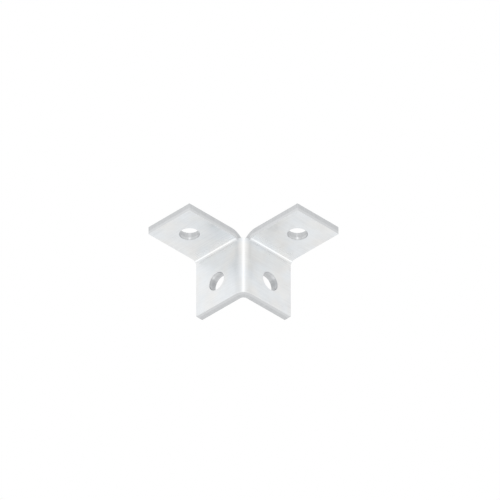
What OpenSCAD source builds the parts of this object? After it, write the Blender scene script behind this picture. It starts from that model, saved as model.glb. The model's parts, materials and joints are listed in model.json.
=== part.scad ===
/* [Plate] */
// Thickness of the plate
plate_t = 6.35; // [4:0.05:8]
// Width of each leg, from the back of the other leg's plate to its free side
leg_w = 41.3; // [38:0.1:46]
// Reach of each flange, from the back of its upright plate to its end
flange_len = 54; // [48:0.5:75]
// Height of each leg, from the top of its flange to its lower end
plate_len = 54; // [48:0.5:75]

/* [Bends] */
// Inside radius of every bend
bend_r = 3; // [1.5:0.1:5]
// Extra outside radius that stretching leaves on the two flange folds
fold_stretch = 2.65; // [0:0.05:4]

/* [Holes] */
// Diameter of the bolt holes
hole_d = 14.3; // [9:0.1:18]
// Distance from the end of each leg to the centre of its hole
hole_end = 20.6; // [15:0.1:24]
// Depth of the broken edge round each hole mouth
hole_break = 0.4; // [0.1:0.1:1]

/* [Hidden] */
$fn = 96;
fold_r = bend_r + plate_t + fold_stretch;
flat_start = fold_r + bend_r;
over = 5;
hole_r = hole_d / 2;
base_shift = (flange_len - leg_w) / 2;

// Block below and outside a rounded corner, seen from the side of a leg
module rounded_block(inset, rad, past) {
    difference() {
        translate([inset, -plate_len - past])
            square([flange_len + past - inset, plate_len + past - inset]);
        translate([inset, -inset - rad])
            difference() {
                square([rad, rad]);
                translate([rad, 0]) circle(r = rad);
            }
    }
}

// Side outline of one leg: upright plate, fold and flange in one strip
module leg_outline() {
    difference() {
        rounded_block(0, fold_r, 0);
        rounded_block(plate_t, bend_r, over);
    }
}

// Flat stretch of one leg, out to where the upright bend starts
module leg() {
    translate([-bend_r, 0, 0])
        rotate([90, 0, -90])
            linear_extrude(height = leg_w - bend_r) leg_outline();
}

// Inner margin of one flange, up to the plane of the other plate's back
module flange_margin() {
    translate([-bend_r, -flange_len, -plate_t])
        cube([bend_r, flange_len - fold_r, plate_t]);
}

// Sweeps a side outline round the upright bend
module round_bend() {
    translate([-bend_r, bend_r, 0])
        rotate([0, 0, -90])
            rotate_extrude(angle = 90)
                translate([bend_r, 0]) children();
}

// Upright bend, level with the undersides of the flanges
module upright_bend() {
    round_bend()
        intersection() {
            leg_outline();
            translate([0, -plate_len]) square([plate_t, plate_len - plate_t]);
        }
}

// Fold carried round from one leg up to the plane of the other plate's back
module fold_run_in() {
    intersection() {
        round_bend()
            intersection() {
                leg_outline();
                translate([0, -plate_len]) square([flat_start, plate_len]);
            }
        translate([-2 * flat_start, -2 * flat_start, -plate_len])
            cube([2 * flat_start, 3 * flat_start, plate_len]);
    }
}

// Bolt hole through a plate that lies from z = 0 up to its thickness
module bolt_hole() {
    translate([0, 0, -over]) cylinder(h = plate_t + 2 * over, r = hole_r);
    cylinder(h = hole_break, r1 = hole_r + hole_break, r2 = hole_r);
    translate([0, 0, plate_t - hole_break])
        cylinder(h = hole_break, r1 = hole_r, r2 = hole_r + hole_break);
}

// One side of the fitting with its holes
module side() {
    difference() {
        union() {
            leg();
            flange_margin();
            fold_run_in();
        }
        translate([-leg_w / 2, -flange_len + hole_end, -plate_t]) bolt_hole();
        translate([-leg_w / 2, 0, -plate_len + hole_end])
            rotate([90, 0, 0]) bolt_hole();
    }
}

// Whole fitting, set down with the middle of its footprint at the origin
module corner_fitting() {
    color([0.74, 0.76, 0.78])
        translate([-base_shift, base_shift, plate_len]) {
            side();
            mirror([1, 1, 0]) side();
            upright_bend();
        }
}

corner_fitting();
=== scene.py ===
"""Corner fitting: one punched, folded and zinc-plated steel plate."""

import json
import math

import bmesh
import bpy
import numpy as np
from mathutils import Matrix, Vector


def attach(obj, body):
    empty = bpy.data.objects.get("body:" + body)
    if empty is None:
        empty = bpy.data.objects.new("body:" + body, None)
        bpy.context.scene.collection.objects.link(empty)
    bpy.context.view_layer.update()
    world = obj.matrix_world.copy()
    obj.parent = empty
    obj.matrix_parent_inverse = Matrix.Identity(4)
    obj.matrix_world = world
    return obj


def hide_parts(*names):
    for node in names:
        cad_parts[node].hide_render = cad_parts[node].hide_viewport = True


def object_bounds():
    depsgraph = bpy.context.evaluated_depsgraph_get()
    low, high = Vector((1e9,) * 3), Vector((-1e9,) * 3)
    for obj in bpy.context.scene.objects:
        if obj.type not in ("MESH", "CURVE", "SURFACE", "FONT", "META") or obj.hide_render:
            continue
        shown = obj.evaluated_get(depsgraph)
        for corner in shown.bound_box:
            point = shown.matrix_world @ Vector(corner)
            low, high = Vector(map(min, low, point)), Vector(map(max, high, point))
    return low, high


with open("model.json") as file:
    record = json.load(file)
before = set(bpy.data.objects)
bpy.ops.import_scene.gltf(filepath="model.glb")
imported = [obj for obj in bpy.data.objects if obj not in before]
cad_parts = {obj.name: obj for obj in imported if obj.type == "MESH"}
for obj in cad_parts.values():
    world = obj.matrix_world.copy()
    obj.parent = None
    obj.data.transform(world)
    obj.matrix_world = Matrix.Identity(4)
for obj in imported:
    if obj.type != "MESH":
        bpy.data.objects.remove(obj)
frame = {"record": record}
cad_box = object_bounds()

# The fitting is one piece of steel plate, cut and punched flat. It is folded upright into a
# corner, and the top of each of its two legs is folded out into a flange. Its cut edges are
# tumbled smooth before it is zinc plated.

# Sizes are in millimetres. The inside corner stands off the middle of the box by the shift,
# both ways, and a hole's own place lies in the middle of its plate's thickness.
box_size = 1000 * np.subtract(cad_box[1], cad_box[0])
plate_hole = next(m for m in frame["record"]["mounts"] if m["name"] == "post_hole_left")
leg_len = box_size[2]
leg_w = box_size[0] - leg_len
shift = (leg_len - leg_w) / 2
plate_t = 2 * (shift - 1000 * plate_hole["pos_m"][1])
to_hole = leg_len - 1000 * plate_hole["pos_m"][2]
hole_r = plate_hole["dims"]["r_mm"]

# Every bend has the same radius inside. Stretching leaves the two flange folds a larger
# radius outside than the thickness alone would give. The inside corner is corner_r from the
# upright bend's centre, where a fold's back has turned by corner_turn, and half_wrap is half
# the upright bend's length along the middle of the thickness.
bend_r = 3.0
fold_r = 12.0
wrap_r = bend_r + plate_t
corner_r = bend_r * math.sqrt(2)
corner_turn = math.acos(1 - (corner_r - bend_r) / fold_r)
half_wrap = (bend_r + plate_t / 2) * math.pi / 4

# Tumbling rounds the cut edges, and a narrow strip of grid follows each of them. Each hole is
# made in a square of its own. The steps are the numbers of rows into which each stretch of the
# surface is divided.
edge_r = 0.35
strip = 0.3
half_square = 11.0
square_steps = 20
plain_steps = 4
past_fold_steps = 5
depth_steps = 14
edge_steps = 5
corner_steps = 4
fold_steps = 10
run_in_steps = 6
bend_steps = 8


def stops(first, *later):
    """Values from the first through each later (value, steps), evenly spaced on each stretch."""
    starts = [first] + [value for value, steps in later]
    parts = [np.linspace(a, b, steps + 1)[1:] for a, (b, steps) in zip(starts, later)]
    return np.concatenate([[first]] + parts)


def columns(*values):
    """Numbers and arrays brought to one shape and stacked, so that each is one column."""
    return np.stack(np.broadcast_arrays(*values), -1).astype(float)


# One leg is worked out here, and its mirror image is the other. Its points are placed by
# side, which is 0 in the plane of the other leg's back and less towards the free side; by
# out, which is 0 on the back of its plate; and by up, which is 0 on top of its flange.
def leg_face(inset, centre, rise, turn, run, lean):
    """One face of a leg in side view, as columns out, up and lean, which is the normal's angle.

    It rises straight at the inset, turns through a quarter circle round (centre, -centre), and
    runs straight out. The normal leans over by as much as the face has turned.
    """
    radius = centre - inset
    out = np.concatenate([np.full(len(rise), inset), centre - radius * np.cos(turn), run])
    up = np.concatenate([rise, radius * np.sin(turn) - centre, np.full(len(run), -inset)])
    turned = np.concatenate([np.zeros(len(rise)), turn, np.full(len(run), math.pi / 2)])
    return columns(out, up, lean - turned)


def leg_outline():
    """Closed side view of a leg, the matching row numbers of its front and back, and the fold's.

    Rows go up the front, round the flange's end, back along the top, down the back and round
    the foot. Columns are out, up, lean, the length along the flat sheet from where the fold
    starts, the depth from front 0 to back 1, and cut, 1 on a cut face. A rounded edge is a
    quarter circle, over which cut goes from 0 to 1. The back starts to turn below the front,
    so its first steps of turn are matched by the last steps of the front's rise.
    """
    foot, tip = edge_r - leg_len, leg_len - edge_r
    plate = ((foot + strip, 1), (-to_hole - half_square, plain_steps),
             (-to_hole + half_square, square_steps))
    flange = ((to_hole - half_square, past_fold_steps), (to_hole + half_square, square_steps),
              (tip - strip, plain_steps), (tip, 1))
    below_fold = -fold_r - 2
    front_rise = stops(foot, *plate, (below_fold, plain_steps), (-wrap_r, corner_steps))
    back_rise = stops(foot, *plate, (-fold_r, plain_steps))
    front_turn = stops(0, (math.pi / 2, fold_steps))[1:]
    back_turn = stops(0, (corner_turn, corner_steps), (math.pi / 2, fold_steps))[1:]
    front = leg_face(plate_t, wrap_r, front_rise, front_turn, stops(wrap_r, *flange)[1:], 0)
    back = leg_face(0, fold_r, back_rise, back_turn, stops(fold_r, *flange)[1:], math.pi)
    middle = (front[:, :2] + back[:, :2]) / 2
    along = np.concatenate([[0], np.cumsum(np.hypot(*np.diff(middle, axis=0).T))])
    fold = len(front_rise) - 1
    along -= along[fold]
    corner = stops(0, (math.pi / 2, edge_steps))[1:-1]
    ease = corner / (math.pi / 2)
    depth = stops(0, (1, depth_steps))
    shallow, deep = edge_r, plate_t - edge_r
    across = deep - (deep - shallow) * depth

    def rounded(out, up, lean, *rest):
        """Points at the edge radius from a centre, each where its normal leans."""
        return columns(out + edge_r * np.cos(lean), up + edge_r * np.sin(lean), lean, *rest)

    loop = np.concatenate([
        columns(*front.T, along, 0, 0),
        rounded(tip, -deep, corner - math.pi / 2, along[-1], 0, ease),
        columns(leg_len, -across, 0, along[-1], depth, 1),
        rounded(tip, -shallow, corner, along[-1], 1, 1 - ease),
        columns(*back.T, along, 1, 0)[::-1],
        rounded(shallow, foot, corner + math.pi, along[0], 1, ease),
        columns(across[::-1], -leg_len, -math.pi / 2, along[0], depth[::-1], 1),
        rounded(deep, foot, corner - math.pi / 2, along[0], 0, 1 - ease),
    ])
    front_rows = np.arange(len(front))
    back_start = len(front) + 2 * len(corner) + len(depth)
    return loop, front_rows, back_start + front_rows[::-1], fold


def straight_leg(loop):
    """Leg from its free side to where the upright bend starts.

    The closed side view is carried straight across. At the free side it draws in along its own
    normals by a quarter circle.
    """
    round_in = stops(math.pi / 2, (0, edge_steps))[:-1]
    flat = stops(edge_r - leg_w, (edge_r - leg_w + strip, 1),
                 (-leg_w / 2 - half_square, plain_steps),
                 (-leg_w / 2 + half_square, square_steps), (-bend_r, plain_steps))
    side = np.concatenate([edge_r * (1 - np.sin(round_in)) - leg_w, flat])
    angle = np.concatenate([round_in, np.zeros(len(flat))])
    inset = edge_r * (1 - np.cos(angle))
    out, up, lean, along, depth, cut = np.concatenate([loop, loop[:1]]).T[..., None]
    cut = np.maximum(cut, angle / (math.pi / 2))
    return columns(side, out - inset * np.cos(lean), up - inset * np.sin(lean),
                   side + bend_r - half_wrap, along, depth, cut)


def free_side_face(loop, front, back):
    """Cut face at the free side: straight lines across the thickness, one for each row."""
    out, up, lean, along = loop[:, :4].T[..., None]
    out = out - edge_r * np.cos(lean)
    up = up - edge_r * np.sin(lean)
    depth = stops(0, (1, depth_steps))
    return columns(-leg_w, out[front] + (out[back] - out[front]) * depth,
                   up[front] + (up[back] - up[front]) * depth,
                   bend_r - half_wrap - leg_w, along[front], depth, 1)


def upright_bend(loop, back, fold):
    """Half of the upright bend: the plate's rows turned by 45 degrees about the bend's centre.

    The turn's steps are even in side as far as the plane of the other leg's back. In the rows
    just below the inside corner they crowd together, so that the last row lies in that plane.
    """
    rows = np.concatenate([loop[back[fold]:], loop[:fold + 1]])
    out, up, _, along, depth, cut = rows.T[..., None]
    run = stops(0, (bend_r, run_in_steps))
    past = stops(math.asin(bend_r / wrap_r), (math.pi / 4, bend_steps))[1:]
    even = np.concatenate([np.arcsin(run / wrap_r), past])
    crowded = np.concatenate([np.arcsin(run / corner_r), np.full(bend_steps, math.pi / 4)])
    share = np.clip(1 - np.arange(len(rows)) / corner_steps, 0, 1)[:, None]
    theta = even + (crowded - even) * share
    radius = bend_r + out
    return columns(radius * np.sin(theta) - bend_r, radius * np.cos(theta) - bend_r, up,
                   half_wrap * (theta / (math.pi / 4) - 1), along, depth, cut)


def flange_run_in(loop, front, back, fold):
    """Flange and fold from the upright bend's start to the plane of the other leg's back.

    The fold keeps its distance from the bend's centre, and past the fold the flange eases back
    to a straight run over the ease length. Each row then draws in along its normal by a quarter
    circle, whose radius grows row by row from nothing at the bend to the full edge radius.
    """
    ease_len = 8.0
    growing_rows = 5
    out, up, lean, along, depth, cut = loop[front[fold]:back[fold] + 1].T[..., None]
    row = np.arange(len(out))
    radius = edge_r * np.clip(np.minimum(row, row[::-1]) / growing_rows, 0, 1)[:, None]
    share = stops(0, (1, run_in_steps))
    turn = stops(0, (math.pi / 2, edge_steps))[1:]
    side = np.concatenate([share * (bend_r - radius) - bend_r, radius * (np.sin(turn) - 1)], 1)
    angle = np.concatenate([np.zeros(len(share)), turn])
    inset = radius * (1 - np.cos(angle))
    turned = np.sqrt((bend_r + out) ** 2 - (bend_r + side) ** 2) - bend_r
    ease = np.clip((fold_r + ease_len - out) / ease_len, 0, 1)
    out = out + ease * ease * (3 - 2 * ease) * (turned - out)
    reach = math.asin(bend_r / wrap_r) / (math.pi / 4)
    wrap = half_wrap * ((side + bend_r) / bend_r * reach - 1)
    cut = np.maximum(cut, angle / (math.pi / 2) * radius / edge_r)
    return columns(side, out - inset * np.cos(lean), up - inset * np.sin(lean),
                   wrap, along, depth, cut)


def notch_floor():
    """Top of the upright bend between the two flanges: a short wall, a rounded edge, a floor.

    Each row keeps its distance from the bend's centre, from the plane of the other leg's back
    to the mirror plane. Rows go in from the bend's outside to the inside corner, where the
    floor dips to meet the fold, late and steeply as a power of the way in, and the last row is
    a single point.
    """
    steepness = 6
    wall_steps = 3
    floor_steps = depth_steps - edge_steps - wall_steps
    turn = stops(0, (math.pi / 2, edge_steps))[1:]
    wall = stops(-wrap_r, (-plate_t - edge_r, wall_steps))
    floor = stops(wrap_r - edge_r, (corner_r, floor_steps))[1:]
    dip = plate_t - fold_r * (1 - math.sin(corner_turn))
    edge = wrap_r - edge_r * (1 - np.cos(turn))
    radius = np.concatenate([np.full(len(wall), wrap_r), edge, floor])
    sunk = dip * stops(0, (1, len(floor) - 1)) ** steepness
    up = np.concatenate([wall, edge_r * (np.sin(turn) - 1) - plate_t, sunk - plate_t])
    cut = np.concatenate([np.zeros(len(wall)), turn / (math.pi / 2), np.ones(len(floor))])
    depth = stops(0, (1, depth_steps))
    radius, up, cut, depth = columns(radius, up, cut, depth).T[..., None]
    first = np.arcsin(np.clip(bend_r / radius, 0, math.sqrt(0.5)))
    theta = first + (math.pi / 4 - first) * stops(0, (1, bend_steps))
    return columns(radius * np.sin(theta) - bend_r, radius * np.cos(theta) - bend_r, up,
                   half_wrap * (theta / (math.pi / 4) - 1), up + wrap_r, depth, cut)


def inner_side_face(run_in, notch, rows):
    """Cut face of the flange in the plane of the other leg's back.

    Lines cross the thickness from the run-in's first edge to its last. The line at the bend
    follows the notch's floor, and that shape dies away over the rows of the fold.
    """
    depth = stops(0, (1, depth_steps))[:, None]
    edge = run_in[:, -1]
    lines = edge[:rows, None] * (1 - depth) + edge[::-1][:rows, None] * depth
    fade = np.clip(1 - np.arange(rows) / fold_steps, 0, 1)[:, None, None]
    lines = lines + fade * (notch[:, 0] - lines[0])
    _, out, up, wrap, along, depth, _ = np.moveaxis(lines, -1, 0)
    return columns(0, out, up, wrap, along, depth, 1)


def square_edge(body, rows, across):
    """Edge of a square of the leg's grid, once round from its low corner at the free side."""
    low, high = body[rows[0], across], body[rows[-1], across[::-1]]
    inner, free = body[rows, across[-1]], body[rows[::-1], across[0]]
    return np.concatenate([low[:-1], inner[:-1], high[:-1], free])


# A punch rolls the mouth of its hole over and shears the first part of the wall smooth, as a
# share of the thickness. It tears the rest, which comes out a little wider.
mouth_r = 0.4
mouth_steps = 8
sheared = 0.4
tear = 0.06
bore_steps = 6
exit_r = 0.15
exit_steps = 4


def punched_hole(front_edge, back_edge, on_flange):
    """Square of sheet with a punched hole, from the front's square edge to the back's.

    Rings blend the square's edge into a circle by growing shares, from the square's low corner
    at the free side once round. The circle rolls over the rounded mouth, goes straight through
    the sheared part of the wall, widens a little where the metal tore, turns out of the far
    mouth and blends back into the square.
    """
    blend = np.array([0, 0.35, 0.65, 0.88])[:, None, None]
    low_corner = -0.75 * math.pi
    angle = stops(low_corner, (low_corner + 2 * math.pi, 4 * square_steps))
    mouth = stops(0, (math.pi / 2, mouth_steps))
    wall = stops(mouth_r, (plate_t - exit_r, bore_steps))[1:]
    leave = stops(0, (math.pi / 2, exit_steps))[1:]
    wider = tear * np.clip((wall / plate_t - sheared) / (1 - sheared), 0, 1)
    rolled = hole_r + mouth_r * (1 - np.sin(mouth))
    turned = hole_r + wider[-1] + exit_r * (1 - np.cos(leave))
    radius = np.concatenate([rolled, hole_r + wider, turned])
    deep = np.concatenate([
        mouth_r * (1 - np.cos(mouth)), wall, plate_t - exit_r * (1 - np.sin(leave))])
    cut = np.concatenate([mouth / (math.pi / 2), np.ones(len(wall)), 1 - leave / (math.pi / 2)])
    radius, deep, cut = columns(radius, deep, cut).T[..., None]
    side = radius * np.cos(angle) - leg_w / 2
    length = radius * np.sin(angle)
    if on_flange:
        out, up = to_hole + length, deep - plate_t
    else:
        out, up = plate_t - deep, length - to_hole
    along = (front_edge[:, 4].min() + front_edge[:, 4].max()) / 2 + length
    tube = columns(side, out, up, side + bend_r - half_wrap, along, deep / plate_t, cut)
    entry = front_edge + (tube[0] - front_edge) * blend
    way_out = back_edge + (tube[-1] - back_edge) * blend
    return np.concatenate([entry, tube, way_out[::-1]])


# Bending squeezes metal out at the fold's edge on its inside, hardly moves it in the middle of
# the thickness, and draws it in on the outside. It draws the foot of the upright bend up.
squeezed_radii = [3.0, 6.0, 10.0]
squeezed_out = [0.3, 0.05, -0.3]
squeezed_depth = 3.0
squeezed_within = fold_r + 2
drawn_up = 0.28
drawn_power = 1.5
drawn_depth = 2.5


def hump(angle, reach):
    """Smooth hump, 1 in the middle of a bend, at 45 degrees, and 0 beyond its reach from there."""
    height = np.clip(1 - np.abs(angle - math.pi / 4) / reach, 0, 1)
    return height * height * (3 - 2 * height)


def swollen(side, out, up):
    """Side and up after the small swellings that bending leaves in thick plate.

    At the free side of the fold, points move out or in by their distance from the fold's
    centre. At the foot of the upright bend, points rise by a power of their share of the way
    from its inside to its outside. Each swelling is a smooth hump round its bend, which stays
    near the bend's own metal and dies away exponentially with the distance from the edge.
    """
    from_fold = np.hypot(up + wrap_r, wrap_r - out)
    near_fold = from_fold < squeezed_within
    at_fold = hump(np.arctan2(up + wrap_r, wrap_r - out), reach=math.pi / 3) * near_fold
    at_fold = at_fold * np.exp(-(side + leg_w) / squeezed_depth)
    from_bend = np.hypot(side + bend_r, out + bend_r)
    near_bend = from_bend < wrap_r + edge_r
    at_bend = hump(np.arctan2(side + bend_r, out + bend_r), reach=math.pi / 4) * near_bend
    at_bend = at_bend * np.exp(-(up + leg_len) / drawn_depth)
    outward = np.interp(from_fold, squeezed_radii, squeezed_out)
    upward = drawn_up * np.clip((from_bend - bend_r) / plate_t, 0, 1) ** drawn_power
    return side - outward * at_fold, up + upward * at_bend


def quads(rows, row_length, first):
    """Corner numbers of the quads of a grid whose points are numbered on from the first."""
    index = first + np.arange(rows * row_length).reshape(rows, row_length)
    return np.stack([index[:-1, :-1], index[1:, :-1], index[1:, 1:], index[:-1, 1:]], -1)


loop, front, back, fold = leg_outline()
body = straight_leg(loop)
run_in = flange_run_in(loop, front, back, fold)
notch = notch_floor()
patches = [
    free_side_face(loop, front, back),
    upright_bend(loop, back, fold),
    run_in,
    notch,
    inner_side_face(run_in, notch, len(front) - fold),
]

# Two squares are left out of the leg's own grid, and each is filled with a punched hole.
leg_quads = quads(*body.shape[:2], 0)
keep = np.ones(leg_quads.shape[:2], bool)
within = half_square + half_square / square_steps
across = np.flatnonzero(np.abs(body[0, :, 0] + leg_w / 2) < within)
for on_flange, from_hole in ((False, loop[:, 1] + to_hole), (True, loop[:, 0] - to_hole)):
    front_rows = np.flatnonzero((np.abs(from_hole) < within) & (loop[:, 4] == 0))
    back_rows = np.flatnonzero((np.abs(from_hole) < within) & (loop[:, 4] == 1))[::-1]
    keep[front_rows[:-1, None], across[:-1]] = False
    keep[back_rows[1:, None], across[:-1]] = False
    patches.append(punched_hole(
        square_edge(body, front_rows, across), square_edge(body, back_rows, across), on_flange))

patch_quads = [leg_quads[keep]]
count = body.shape[0] * body.shape[1]
for patch in patches:
    patch_quads.append(quads(*patch.shape[:2], count).reshape(-1, 4))
    count += patch.shape[0] * patch.shape[1]
one_leg = np.concatenate(patch_quads)
both_legs = np.concatenate([one_leg, one_leg[:, ::-1] + count])
side, out, up, wrap, along, depth, cut = np.concatenate(
    [patch.reshape(-1, 7) for patch in [body] + patches]).T
side, up = swollen(side, out, up)
points = np.concatenate([
    columns(side, out, up, wrap, along, depth, cut),
    columns(out, side, up, -wrap, along, depth, cut)])

# The legs' own directions become the frame's, in metres. Points that meet to within the weld
# become one, and a quad that loses a side to the weld becomes a triangle.
weld = 2e-6
places = 0.001 * (points[:, :3] * [1, -1, 1] + [-shift, shift, leg_len])
kept, welded = np.unique(
    np.round(places / weld), axis=0, return_index=True, return_inverse=True)[1:]
faces = welded.reshape(-1)[both_legs]
lost = faces == np.roll(faces, -1, axis=1)
pinched = lost.sum(axis=1) == 1
whole = faces[~lost.any(axis=1)]
triangles = faces[pinched][~lost[pinched]]
corners = np.concatenate([np.full(len(whole), 4), np.full(len(triangles) // 3, 3)])
mesh = bpy.data.meshes.new("corner_plate")
mesh.vertices.add(len(kept))
mesh.vertices.foreach_set("co", places[kept].ravel())
mesh.loops.add(int(corners.sum()))
mesh.loops.foreach_set("vertex_index", np.concatenate([whole.ravel(), triangles]))
mesh.polygons.add(len(corners))
mesh.polygons.foreach_set("loop_start", np.cumsum(corners) - corners)
mesh.update(calc_edges=True)
mesh.validate()

# All faces are turned outwards and shaded smooth, and only a crease past so many degrees, as at
# the inside corner, stays sharp.
shell = bmesh.new()
shell.from_mesh(mesh)
bmesh.ops.recalc_face_normals(shell, faces=shell.faces[:])
shell.to_mesh(mesh)
shell.free()
sharp_degrees = 38
mesh.polygons.foreach_set("use_smooth", np.ones(len(corners), bool))
mesh.set_sharp_from_angle(angle=math.radians(sharp_degrees))

# The sheet attribute is a point's place on the flat sheet, in metres across it and along it,
# with its depth as a share of the thickness. The cut_face attribute is 1 on the cut faces.
sheet = mesh.attributes.new("sheet", "FLOAT_VECTOR", "POINT")
sheet.data.foreach_set("vector", (points[kept, 3:6] * [0.001, 0.001, 1]).ravel())
cut_face = mesh.attributes.new("cut_face", "FLOAT", "POINT")
cut_face.data.foreach_set("value", points[kept, 6])
corner_plate = bpy.data.objects.new("corner_plate", mesh)
bpy.context.scene.collection.objects.link(corner_plate)


class Wire:
    """An output socket of a node tree. Arithmetic on it adds Math nodes and gives a new wire."""

    def __init__(self, tree, socket=None):
        self.tree = tree
        self.socket = socket

    def add(self, kind, sockets=None, output=0, **settings):
        """Adds a node with its settings, then gives its sockets their values or wires.

        Sockets and the output are given by name, or by number where names are shared.
        """
        node = self.tree.nodes.new(kind)
        for name, value in settings.items():
            setattr(node, name, value)
        for name, value in (sockets or {}).items():
            if isinstance(value, Wire):
                value.into(node, name)
            else:
                node.inputs[name].default_value = value
        return Wire(self.tree, node.outputs[output])

    def into(self, node, name):
        """Links this wire to a node's socket."""
        self.tree.links.new(self.socket, node.inputs[name])

    def maths(self, operation, *terms):
        """A Math node on the terms given."""
        return self.add("ShaderNodeMath", dict(enumerate(terms)), operation=operation)

    def __add__(self, other):
        return self.maths("ADD", self, other)

    def __sub__(self, other):
        return self.maths("SUBTRACT", self, other)

    def __rsub__(self, other):
        return self.maths("SUBTRACT", other, self)

    def __mul__(self, other):
        return self.maths("MULTIPLY", self, other)

    __radd__ = __add__
    __rmul__ = __mul__

    def between(self, low, high):
        """Goes from 0 at low to 1 at high, easing in and out."""
        sockets = {"Value": self, "From Min": low, "From Max": high}
        return self.add("ShaderNodeMapRange", sockets, interpolation_type="SMOOTHSTEP")

    def noise(self, per_metre, detail, stretch):
        """Noise from 0 to 1 over this place, so many waves to the metre times the stretch."""
        place = self.add("ShaderNodeMapping", {"Vector": self, "Scale": stretch})
        sockets = {"Vector": place, "Scale": per_metre, "Detail": detail}
        return self.add("ShaderNodeTexNoise", sockets)

    def mix(self, low, high):
        """Blends two colours, given as wires or as red, green and blue.

        A Mix node's colours are its inputs 6 and 7 and its output 2, and input 0 is the factor.
        """
        ends = [end if isinstance(end, Wire) else (*end, 1) for end in (low, high)]
        return self.add("ShaderNodeMix", {0: self, 6: ends[0], 7: ends[1]}, 2, data_type="RGBA")


zinc = bpy.data.materials.new("zinc_plate")
zinc.use_nodes = True
skin = zinc.node_tree.nodes["Principled BSDF"]
tree = Wire(zinc.node_tree)
on_sheet = tree.add("ShaderNodeAttribute", output="Vector", attribute_name="sheet")
on_cut = tree.add("ShaderNodeAttribute", output="Fac", attribute_name="cut_face")
from_corner, past_fold, inward = (
    tree.add("ShaderNodeSeparateXYZ", {"Vector": on_sheet}, axis) for axis in "XYZ")

# Plating lies in soft clouds over the rolling grain, with a few scratches. Metal that a bend
# stretched has an orange peel, and the punch and shear dragged lines down the cut faces.
cloud = on_sheet.noise(per_metre=110, detail=3, stretch=(1, 1, 0.02))
warmth = on_sheet.noise(per_metre=45, detail=2, stretch=(1, 1, 0.02))
grain = on_sheet.noise(per_metre=700, detail=4, stretch=(0.05, 1.6, 0.003))
scratch = on_sheet.noise(per_metre=1500, detail=1, stretch=(1, 0.05, 0.002)).between(0.70, 0.78)
peel = on_sheet.noise(per_metre=1500, detail=2, stretch=(1, 1, 0.001))
drag = on_sheet.noise(per_metre=2600, detail=3, stretch=(1, 1, 0.0004))

# The upright bend reaches a few millimetres to either side of the corner, as high as the folds,
# and the folds start where past_fold is 0. The bend is stretched on its front, the folds on
# their back. Distances are in metres.
by_corner = 1 - tree.maths("ABSOLUTE", from_corner).between(0.004, 0.0075)
at_bend = by_corner * (1 - past_fold.between(0.002, 0.010))
in_fold = past_fold.between(-0.003, 0.002) * (1 - past_fold.between(0.010, 0.015))
at_fold = in_fold * (1 - at_bend)
stretched = at_bend * (1 - inward) + at_fold * inward
pressed = at_bend * inward + at_fold * (1 - inward)
torn = (inward + (drag - 0.5) * 0.35).between(sheared - 0.07, sheared + 0.02)

# Clouds, grain and scratches move the zinc's tone between a dark and a light, cool in some
# places and warm in others. Cut faces are greyer, and greyer still where the metal tore.
tone = 0.5 + (cloud - 0.5) * 0.7 + (grain - 0.5) * 0.8 + scratch * 0.2
cool = tone.mix((0.68, 0.70, 0.72), (0.86, 0.885, 0.905))
warm = tone.mix((0.70, 0.70, 0.695), (0.88, 0.88, 0.87))
plated = warmth.between(0.35, 0.65).mix(cool, warm)
smooth_cut = drag.mix((0.58, 0.59, 0.60), (0.70, 0.71, 0.72))
torn_cut = (drag * 1.6 - 0.3).mix((0.52, 0.53, 0.54), (0.66, 0.67, 0.68))
on_cut.mix(plated, torn.mix(smooth_cut, torn_cut)).into(skin, "Base Color")

# Torn metal is the roughest and orange peel a little rough, and pressed metal is polished.
rough_cut = on_cut * torn
rough = 0.32 + (cloud - 0.5) * 0.16 + (grain - 0.5) * 0.14 + rough_cut * 0.16
(rough + stretched * 0.06 - pressed * 0.05).into(skin, "Roughness")
skin.inputs["Metallic"].default_value = 1
height = grain * 0.55 + peel * (0.15 + stretched * 0.4) + rough_cut * drag * 1.6 + scratch * 0.1
bump = tree.add("ShaderNodeBump", {"Strength": 0.14, "Distance": 0.0001, "Height": height})
bump.into(skin, "Normal")
mesh.materials.append(zinc)
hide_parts("corner_fitting")
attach(corner_plate, "root")

# The floor is a plain, nearly white sheet just under the fitting. The picture looks up from
# below it, so it is clear from that side, and it takes no light away from the undersides.
reach = 6.0
drop = 0.0002
floor_corners = [(x * reach, y * reach, -drop) for x, y in ((-1, -1), (1, -1), (1, 1), (-1, 1))]
floor_mesh = bpy.data.meshes.new("floor")
floor_mesh.from_pydata(floor_corners, [], [(0, 1, 2, 3)])
floor = bpy.data.objects.new("floor", floor_mesh)
bpy.context.scene.collection.objects.link(floor)
floor.visible_diffuse = False
floor.visible_glossy = False
floor.visible_shadow = False
paper = bpy.data.materials.new("floor_paper")
paper.use_nodes = True
pale = paper.node_tree.nodes["Principled BSDF"]
pale.inputs["Base Color"].default_value = (0.95, 0.95, 0.95, 1)
pale.inputs["Roughness"].default_value = 0.9
opaque = Wire(paper.node_tree, pale.outputs["BSDF"])
clear = opaque.add("ShaderNodeBsdfTransparent")
from_below = opaque.add("ShaderNodeNewGeometry", output="Backfacing")
seen = opaque.add("ShaderNodeMixShader", {0: from_below, 1: opaque, 2: clear})
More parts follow.
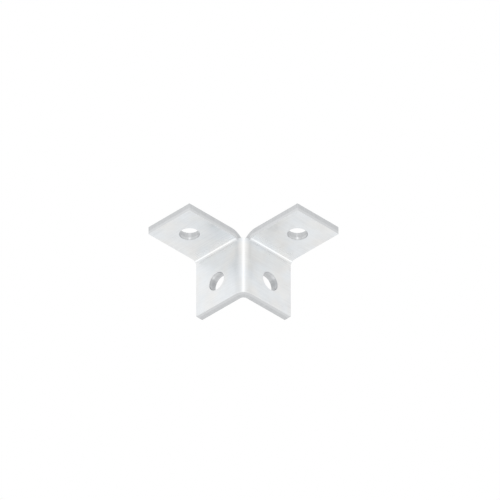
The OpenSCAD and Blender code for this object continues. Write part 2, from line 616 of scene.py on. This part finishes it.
seen.into(paper.node_tree.nodes["Material Output"], "Surface")
floor_mesh.materials.append(paper)

# The light is a plain white surround, with a weak soft lamp on the viewer's left and one
# facing each bend, which puts a highlight along it.
surround = bpy.data.worlds.new("surround")
bpy.context.scene.world = surround
surround.use_nodes = True
surround.node_tree.nodes["Background"].inputs["Color"].default_value = (1, 1, 1, 1)


def lamp(name, toward, spread, power):
    """A far soft lamp that stands in the direction given, as many degrees wide as its spread."""
    light = bpy.data.lights.new(name, "SUN")
    light.angle = math.radians(spread)
    light.energy = power
    stand = bpy.data.objects.new(name, light)
    stand.rotation_euler = Vector(toward).to_track_quat("Z", "Y").to_euler()
    bpy.context.scene.collection.objects.link(stand)


lamp("left_lamp", toward=(-1, -1.2, 1), spread=50, power=0.05)
lamp("upright_bend_lamp", toward=(1, -1, 1.15), spread=16, power=0.09)
lamp("left_fold_lamp", toward=(-1, -1, -1.4), spread=32, power=0.1)
lamp("right_fold_lamp", toward=(1, 1, -1.4), spread=32, power=0.1)

# The camera looks up at the fitting from in front and below, at the same angle to all three
# of its directions, through a long lens. The top of the inside corner lands on its own pixel.
picture_px = 500
pixels_per_metre = 1411.0
corner_px = (243.5, 234.3)
corner_top = Vector((-0.001 * shift, 0.001 * shift, 0.001 * leg_len))
toward = Vector((1, -1, -1)).normalized()
right = Vector((1, 1, 0)).normalized()
above = Vector((1, -1, 2)).normalized()
lens = bpy.data.cameras.new("camera")
lens.lens = 1000
lens.sensor_width = 36
lens.clip_start = 0.1
lens.clip_end = 30
to_right = (picture_px / 2 - corner_px[0]) / pixels_per_metre
to_above = (corner_px[1] - picture_px / 2) / pixels_per_metre
distance = picture_px / pixels_per_metre * lens.lens / lens.sensor_width
place = corner_top + right * to_right + above * to_above + toward * distance
camera = bpy.data.objects.new("camera", lens)
camera.matrix_world = Matrix.LocRotScale(place, Matrix((right, above, toward)).transposed(), None)
scene = bpy.context.scene
scene.collection.objects.link(camera)
scene.camera = camera
scene.view_settings.view_transform = "Standard"
